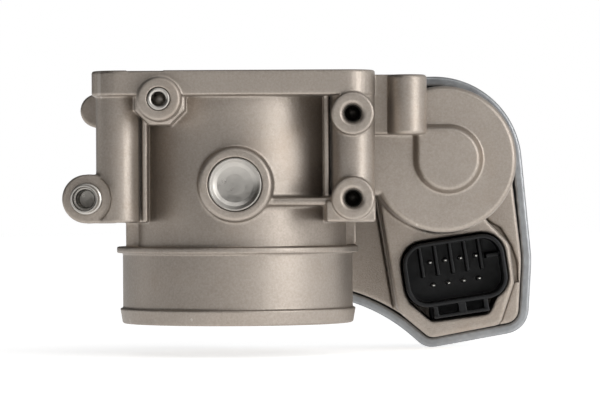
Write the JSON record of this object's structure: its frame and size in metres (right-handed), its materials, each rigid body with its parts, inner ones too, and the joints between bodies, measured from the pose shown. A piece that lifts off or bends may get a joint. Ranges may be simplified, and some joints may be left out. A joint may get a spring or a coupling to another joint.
{
  "type": "electronic throttle body",
  "caption": "Electronic throttle body: flanged bore with a hose spigot, pivoting plate, motor dome, gear case under a wrap-round cover, and a socket connector.",
  "frame": {"origin": "centre of the bounding box at the lowest point of the part, the bottom edge of the gear cover", "axes": "+X from the left lug towards the motor, the longest way; +Y from the plug boss and connector mouth towards the gear cover; +Z along the bore, from the hose spigot towards the manifold flange, the shortest way"},
  "size_m": [0.1623, 0.1226, 0.0967],
  "materials": {
    "cast_aluminium": "as-cast with a fine grain, machined on the joint faces",
    "cover_aluminium": "smooth die-cast, cooler in tone than the housing",
    "seal_rubber": "moulded black rubber",
    "zinc_steel": "zinc plated",
    "turned_steel": "turned and ground",
    "spring_steel": "oiled spring steel",
    "plate_aluminium": "machined, fine concentric marks",
    "gear_polymer": "glass-filled dark polymer",
    "ferrite": "sintered magnet",
    "brass": "machined",
    "copper": "copper windings and segments",
    "carbon": "pressed carbon",
    "connector_polymer": "black moulded polymer with a slight sheen",
    "terminal_tin": "tin plated",
    "board_laminate": "green circuit board laminate"
  },
  "bodies": {
    "housing": {"throttle_housing": "cast_aluminium", "gear_cover": "cover_aluminium", "cover_gasket": "seal_rubber", "front_shaft_seal": "seal_rubber", "rear_shaft_seal": "seal_rubber", "connector_seal": "seal_rubber", "cover_screw_1": "zinc_steel", "cover_screw_2": "zinc_steel", "cover_screw_3": "zinc_steel", "cover_screw_4": "zinc_steel", "cover_screw_5": "zinc_steel", "cover_screw_6": "zinc_steel", "motor_can": "zinc_steel", "motor_end_plate": "zinc_steel", "motor_screw_1": "zinc_steel", "motor_screw_2": "zinc_steel", "front_bearing_plug": "turned_steel", "front_needle_bearing": "turned_steel", "rear_bearing_outer_race": "turned_steel", "rear_bearing_balls": "turned_steel", "idler_pin": "turned_steel", "lug_sleeve": "turned_steel", "upper_boss_insert": "turned_steel", "return_spring": "spring_steel", "motor_wave_washer": "spring_steel", "brush_holder": "gear_polymer", "motor_magnet_left": "ferrite", "motor_magnet_right": "ferrite", "motor_bush_front": "brass", "motor_bush_rear": "brass", "brush_1": "carbon", "brush_2": "carbon", "connector_body": "connector_polymer", "sensor_chip": "connector_polymer", "terminal_1": "terminal_tin", "terminal_2": "terminal_tin", "terminal_3": "terminal_tin", "terminal_4": "terminal_tin", "terminal_5": "terminal_tin", "terminal_6": "terminal_tin", "terminal_7": "terminal_tin", "terminal_8": "terminal_tin", "sensor_board": "board_laminate"},
    "throttle": {"throttle_shaft": "turned_steel", "throttle_plate": "plate_aluminium", "plate_screw_front": "zinc_steel", "plate_screw_rear": "zinc_steel", "sector_gear": "gear_polymer", "sensor_magnet": "ferrite", "shaft_circlip": "spring_steel", "rear_bearing_inner_race": "turned_steel"},
    "idler": {"idler_gear": "gear_polymer"},
    "rotor": {"motor_shaft": "turned_steel", "motor_armature": "copper", "motor_commutator": "copper", "motor_pinion": "brass"}
  },
  "joints": [
    {"name": "throttle_turn", "type": "hinge", "parent": "housing", "child": "throttle", "pos_m": [-0.023, -0.011, 0.0582], "axis": [0, 1, 0], "range_deg": [0, 80], "stiffness_Nm_per_rad": 0.1, "springref_deg": -28.65},
    {"name": "idler_turn", "type": "hinge", "parent": "housing", "child": "idler", "pos_m": [0.01589, -0.011, 0.05521], "axis": [0, 1, 0], "range_deg": [-266.7, 0]},
    {"name": "rotor_turn", "type": "hinge", "parent": "housing", "child": "rotor", "pos_m": [0.047, -0.011, 0.0662], "axis": [0, 1, 0], "range_deg": [0, 1200]}
  ],
  "couplings": [
    {"joint": "idler_turn", "follows": "throttle_turn", "ratio": -3.3333},
    {"joint": "rotor_turn", "follows": "throttle_turn", "ratio": 15}
  ]
}
